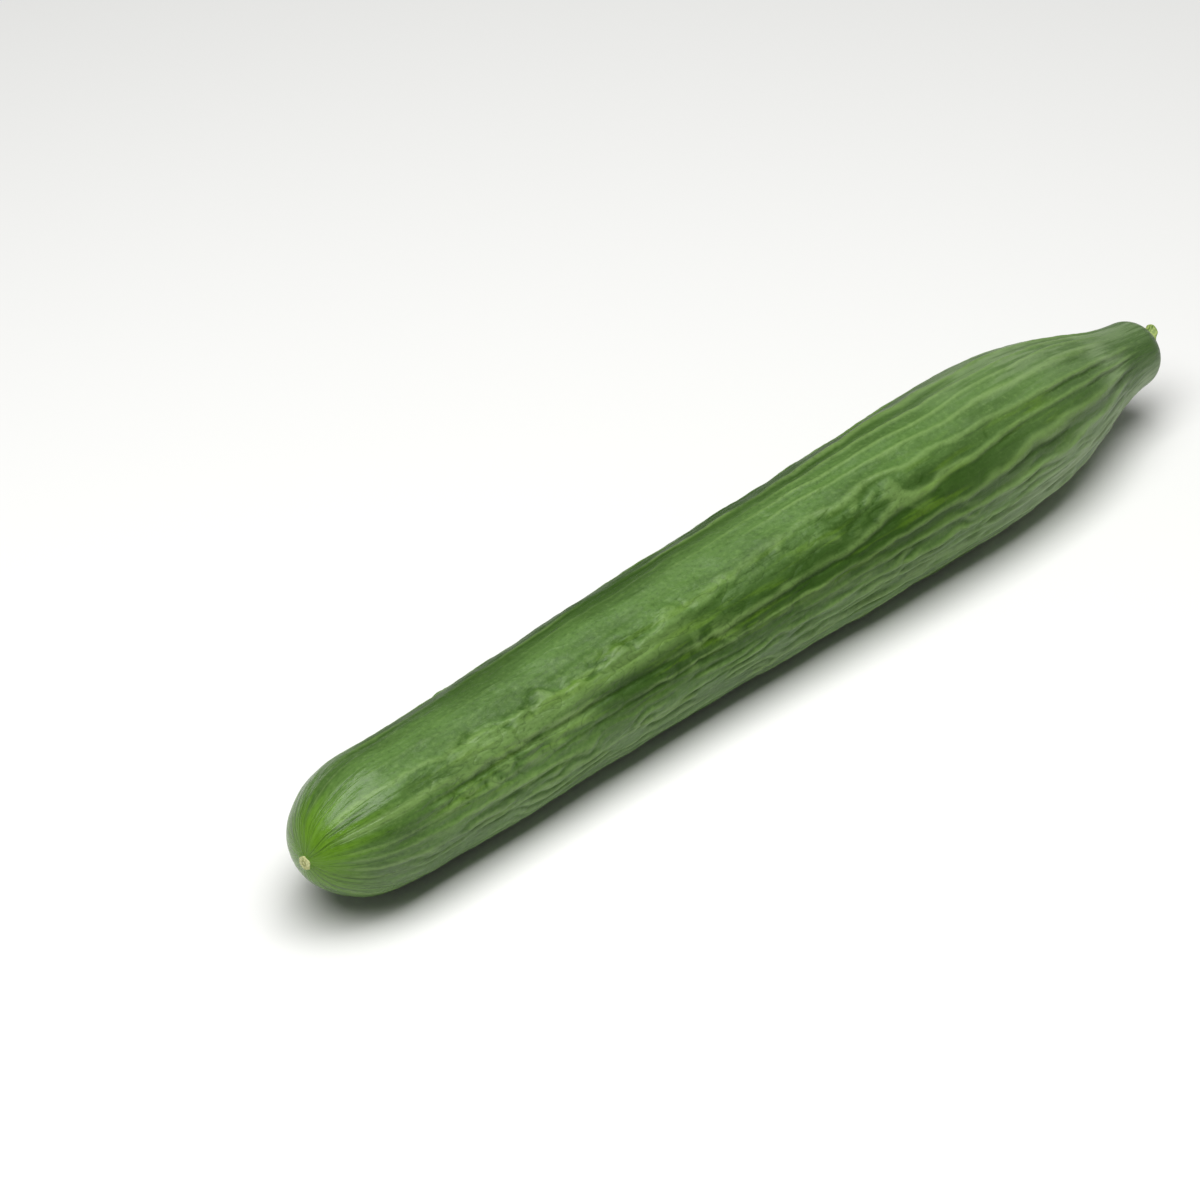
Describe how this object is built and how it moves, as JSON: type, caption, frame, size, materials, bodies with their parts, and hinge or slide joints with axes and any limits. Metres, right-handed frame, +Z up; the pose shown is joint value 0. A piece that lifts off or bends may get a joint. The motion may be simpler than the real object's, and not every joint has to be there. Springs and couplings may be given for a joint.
{
  "type": "cucumber",
  "caption": "Whole long greenhouse cucumber lying on its side, with shallow ribs, puckered skin, a tapered neck with a cut stem stub and a small scar on the blossom end.",
  "frame": {"origin": "middle of the bounding box at its bottom, on the surface that the cucumber lies on", "axes": "+X along the fruit from the blossom end to the stem, +Z up from the surface it lies on, +Y sideways"},
  "size_m": [0.3654, 0.0506, 0.0491],
  "materials": {
    "skin": "satin green plant skin with paler lengthwise stripes and a yellow-green blossom end",
    "stem": "matt fresh-cut yellow-green plant stem"
  },
  "bodies": {
    "root": {"fruit": "skin", "stem_stub": "stem"}
  },
  "joints": []
}
